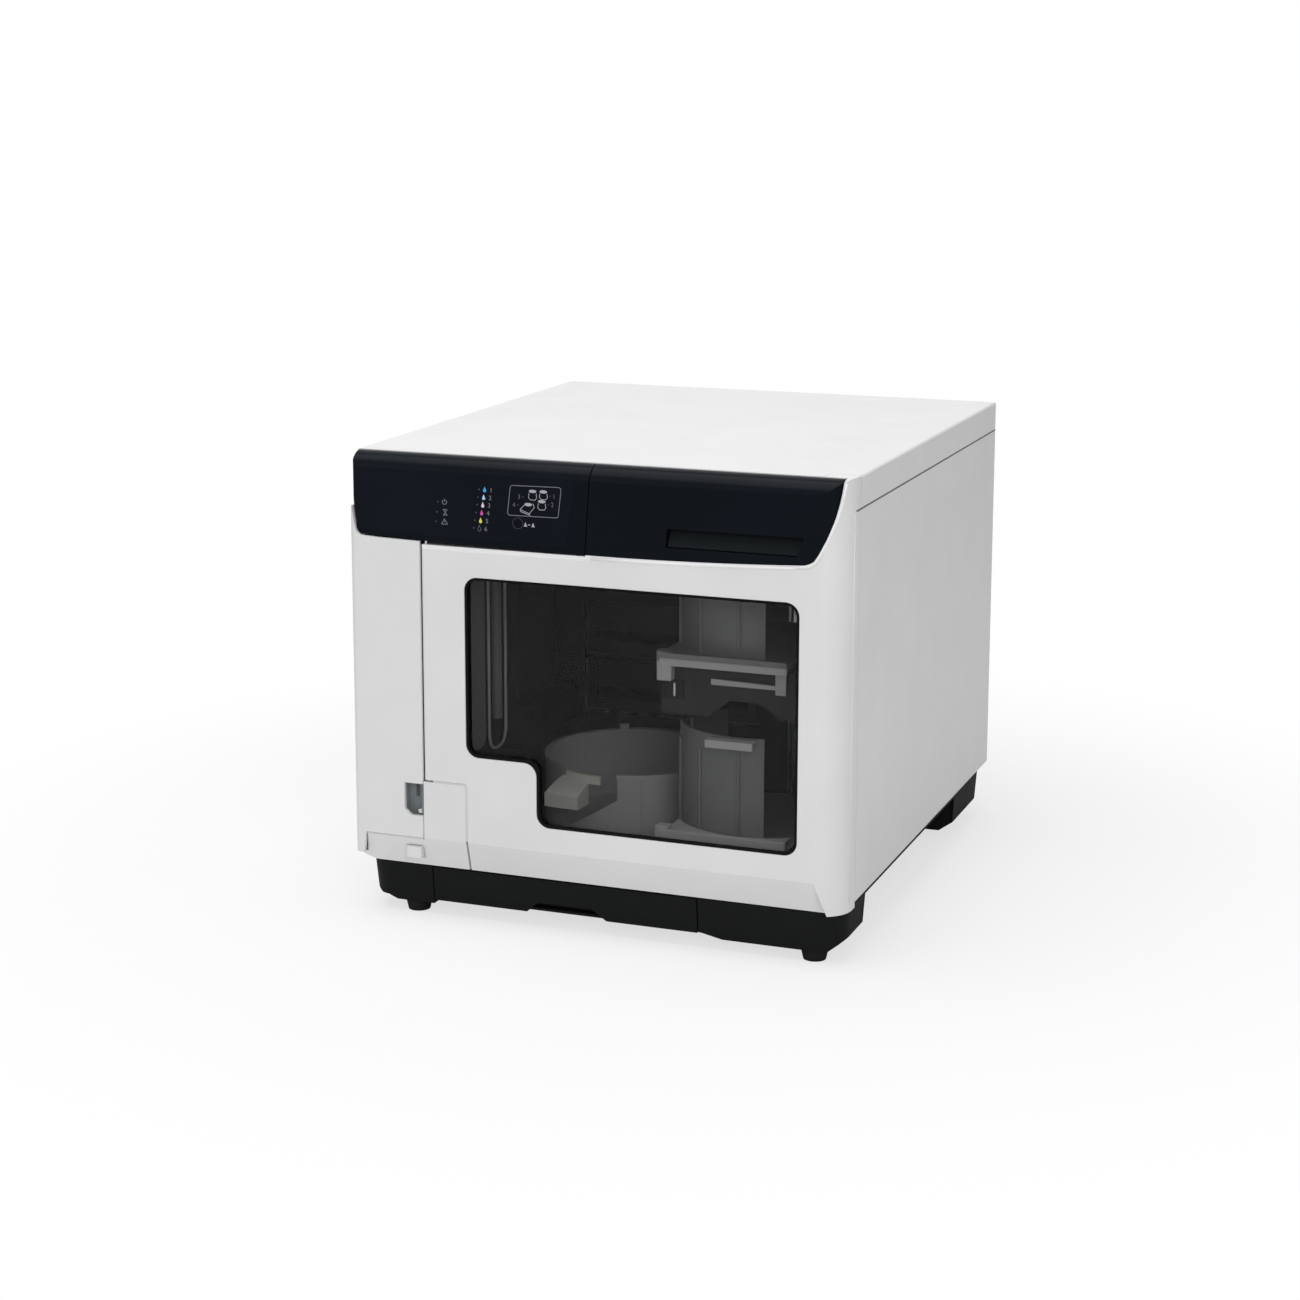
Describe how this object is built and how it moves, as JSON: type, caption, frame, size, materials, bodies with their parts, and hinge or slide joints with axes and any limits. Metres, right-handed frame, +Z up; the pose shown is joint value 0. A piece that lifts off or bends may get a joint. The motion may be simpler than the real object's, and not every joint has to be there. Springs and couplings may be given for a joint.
{
  "type": "disc label printer",
  "caption": "Disc label printer with a hinged smoked window cover, disc bins, a pick arm, disc drives, an ink bay cover and a disc drawer in its base.",
  "frame": {"origin": "middle of the feet's resting plane, under the middle of the whole box", "axes": "+X to the right seen from the front, the front faces -Y, +Z up"},
  "size_m": [0.377, 0.465, 0.348],
  "materials": {
    "white_shell": "fine-grained white",
    "dark_band": "glossy blue-black",
    "base_black": "matte black",
    "rubber": "matte",
    "dark_parts": "satin dark grey",
    "socket_steel": "bright",
    "screw_steel": "bright",
    "smoked_pane": "clear smoked",
    "gasket": "black print on the pane",
    "chamber_grey": "satin dark grey",
    "bin_grey": "satin grey",
    "tab_pale": "satin pale grey",
    "rod_steel": "ground steel",
    "sheet_steel": "zinc-plated sheet",
    "belt_rubber": "matte",
    "pulley_metal": "turned",
    "arm_metal": "satin",
    "motor_case": "satin black",
    "drive_case": "satin",
    "tray_grey": "satin grey",
    "board_green": "coated circuit board",
    "cartridge": "satin black"
  },
  "bodies": {
    "cabinet": {"base_frame": "base_black", "rubber_feet": "rubber", "side_panel_right": "white_shell", "side_panel_left": "white_shell", "top_cover": "white_shell", "rear_cover": "white_shell", "power_inlet": "dark_parts", "data_socket": "socket_steel", "rear_screws": "screw_steel", "control_panel": "dark_band", "lower_front_panel": "white_shell", "cover_hinge_pins": "rod_steel", "chamber_left_wall": "chamber_grey", "chamber_right_wall": "chamber_grey", "chamber_rear_wall": "chamber_grey", "stacker_1": "bin_grey", "stacker_2": "bin_grey", "stacker_3": "bin_grey", "stacker_3_tab": "tab_pale", "stacker_1_holder": "dark_parts", "stacker_rail": "dark_parts", "channel_rod": "rod_steel", "arm_guide_rods": "rod_steel", "arm_bracket": "sheet_steel", "arm_belt": "belt_rubber", "arm_motor": "motor_case", "disc_drive_1": "drive_case", "disc_drive_2": "drive_case", "drive_cage": "sheet_steel", "printer_frame": "chamber_grey", "print_rails": "rod_steel", "ink_bay": "dark_parts", "power_supply": "sheet_steel", "main_board": "board_green", "fan_housing": "dark_parts", "ink_cartridge_1": "cartridge", "ink_cartridge_2": "cartridge", "ink_cartridge_3": "cartridge", "ink_cartridge_4": "cartridge", "ink_cartridge_5": "cartridge", "ink_cartridge_6": "cartridge"},
    "disc_cover": {"disc_cover_frame": "white_shell", "disc_cover_band": "dark_band", "disc_cover_window": "smoked_pane", "window_gasket": "gasket"},
    "ink_cover": {"ink_cover": "white_shell"},
    "stacker_4_drawer": {"stacker_4_drawer": "base_black"},
    "power_button": {"power_button": "white_shell"},
    "clean_button": {"clean_button": "dark_band"},
    "arm_carriage": {"arm_carriage": "dark_parts"},
    "pick_arm": {"pick_arm": "arm_metal", "grip_claws": "dark_parts"},
    "grip_plunger": {"grip_plunger": "rod_steel"},
    "arm_pulley_lower": {"arm_pulley_lower": "pulley_metal"},
    "arm_pulley_upper": {"arm_pulley_upper": "pulley_metal"},
    "drive_tray_1": {"drive_tray_1": "dark_parts"},
    "drive_tray_2": {"drive_tray_2": "dark_parts"},
    "printer_tray": {"printer_tray": "tray_grey"},
    "print_carriage": {"print_carriage": "dark_parts"},
    "fan_rotor": {"fan_rotor": "dark_parts"}
  },
  "joints": [
    {"name": "disc_cover_swing", "type": "hinge", "parent": "cabinet", "child": "disc_cover", "pos_m": [-0.1282, -0.2293, 0.195], "axis": [0, 0, -1], "range_deg": [0, 110]},
    {"name": "ink_cover_swing", "type": "hinge", "parent": "cabinet", "child": "ink_cover", "pos_m": [-0.1873, -0.2175, 0.17], "axis": [0, 0, -1], "range_deg": [0, 100]},
    {"name": "stacker_4_drawer_slide", "type": "slide", "parent": "cabinet", "child": "stacker_4_drawer", "axis": [0, -1, 0], "range_m": [0, 0.17]},
    {"name": "power_button_press", "type": "slide", "parent": "cabinet", "child": "power_button", "axis": [0, 1, 0], "range_m": [0, 0.002], "stiffness_N_per_m": 500, "springref_m": -0.0005},
    {"name": "clean_button_press", "type": "slide", "parent": "cabinet", "child": "clean_button", "axis": [0, 1, 0], "range_m": [0, 0.001], "stiffness_N_per_m": 500, "springref_m": -0.0005},
    {"name": "arm_lift", "type": "slide", "parent": "cabinet", "child": "arm_carriage", "axis": [0, 0, 1], "range_m": [-0.205, 0]},
    {"name": "arm_swivel", "type": "hinge", "parent": "arm_carriage", "child": "pick_arm", "pos_m": [0.0653, -0.038, 0.3], "axis": [0, 0, 1], "range_deg": [0, 87.3]},
    {"name": "grip_plunger_press", "type": "slide", "parent": "pick_arm", "child": "grip_plunger", "axis": [0, 0, -1], "range_m": [0, 0.003], "stiffness_N_per_m": 300, "springref_m": -0.002},
    {"name": "arm_pulley_lower_turn", "type": "hinge", "parent": "cabinet", "child": "arm_pulley_lower", "pos_m": [0.105, -0.021, 0.062], "axis": [0, 1, 0], "range_deg": [-1330, 0]},
    {"name": "arm_pulley_upper_turn", "type": "hinge", "parent": "cabinet", "child": "arm_pulley_upper", "pos_m": [0.105, -0.021, 0.3305], "axis": [0, 1, 0], "range_deg": [-1330, 0]},
    {"name": "drive_tray_1_slide", "type": "slide", "parent": "cabinet", "child": "drive_tray_1", "axis": [0, -1, 0], "range_m": [0, 0.145]},
    {"name": "drive_tray_2_slide", "type": "slide", "parent": "cabinet", "child": "drive_tray_2", "axis": [0, -1, 0], "range_m": [0, 0.145]},
    {"name": "printer_tray_slide", "type": "slide", "parent": "cabinet", "child": "printer_tray", "axis": [0, -1, 0], "range_m": [0, 0.145]},
    {"name": "print_carriage_slide", "type": "slide", "parent": "cabinet", "child": "print_carriage", "axis": [1, 0, 0], "range_m": [0, 0.08]},
    {"name": "fan_turn", "type": "hinge", "parent": "cabinet", "child": "fan_rotor", "pos_m": [-0.06, 0.2135, 0.19], "axis": [0, 1, 0], "continuous": true}
  ],
  "couplings": [
    {"joint": "arm_pulley_lower_turn", "follows": "arm_lift", "rad_per_m": 111.73},
    {"joint": "arm_pulley_upper_turn", "follows": "arm_lift", "rad_per_m": 111.73}
  ]
}
